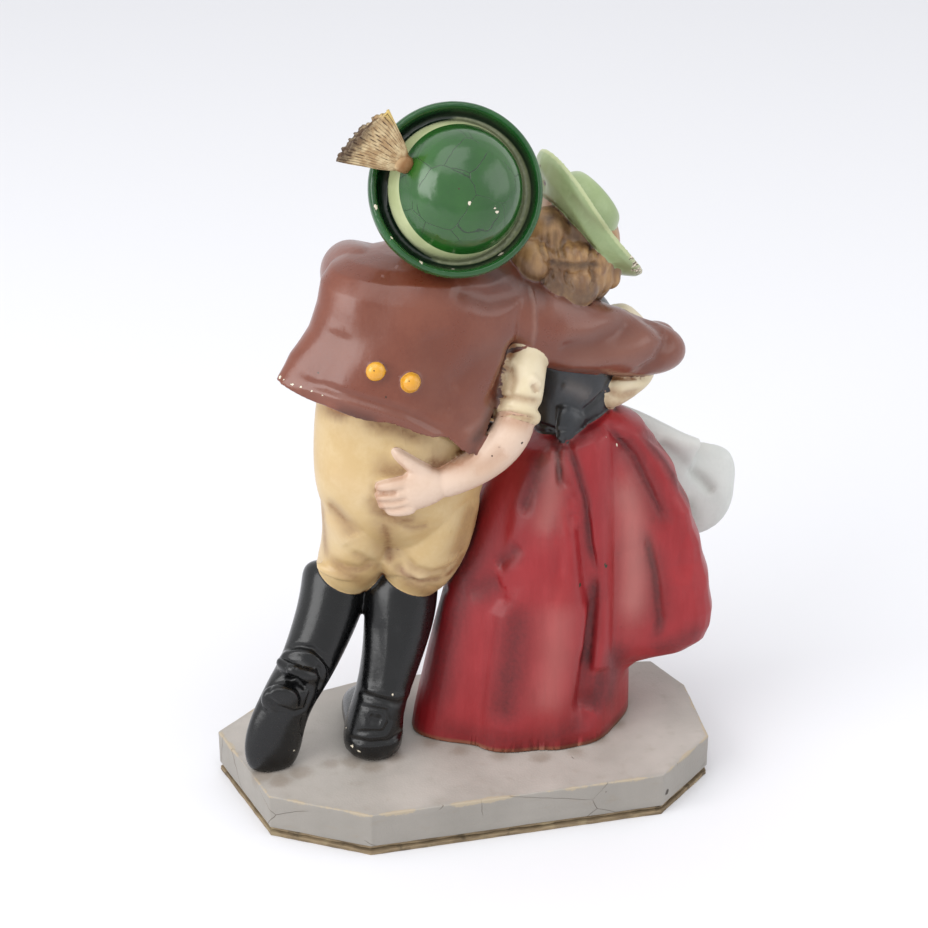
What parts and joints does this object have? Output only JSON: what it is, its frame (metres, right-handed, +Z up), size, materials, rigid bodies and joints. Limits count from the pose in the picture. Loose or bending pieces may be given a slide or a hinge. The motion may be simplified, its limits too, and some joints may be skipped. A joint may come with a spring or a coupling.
{
  "type": "dancing couple figurine",
  "caption": "Painted cast table figurine: a dancing couple seen from behind, he in hat, coat and boots, she in a swinging skirt and apron, on a long grey plinth with cut corners.",
  "frame": {"origin": "centre of the underside of the base board, on the surface that the figurine stands on", "axes": "+Z up, +X along the plinth from the man's side to the woman's side, -Y the side that both turn their backs to"},
  "size_m": [0.2251, 0.1143, 0.2865],
  "materials": {
    "couple": "hand-painted plaster under a satin varnish, brown wash in the hollows, glossy dark green hat",
    "hat_tuft": "straw-coloured brush with dark ends, matt",
    "plinth": "grey painted plaster, satin, tan worn edges and hairline cracks",
    "base_board": "brown fibre board, raw and flaking"
  },
  "bodies": {
    "root": {"couple": "couple", "hat_tuft": "hat_tuft", "plinth": "plinth", "base_board": "base_board"}
  },
  "joints": []
}
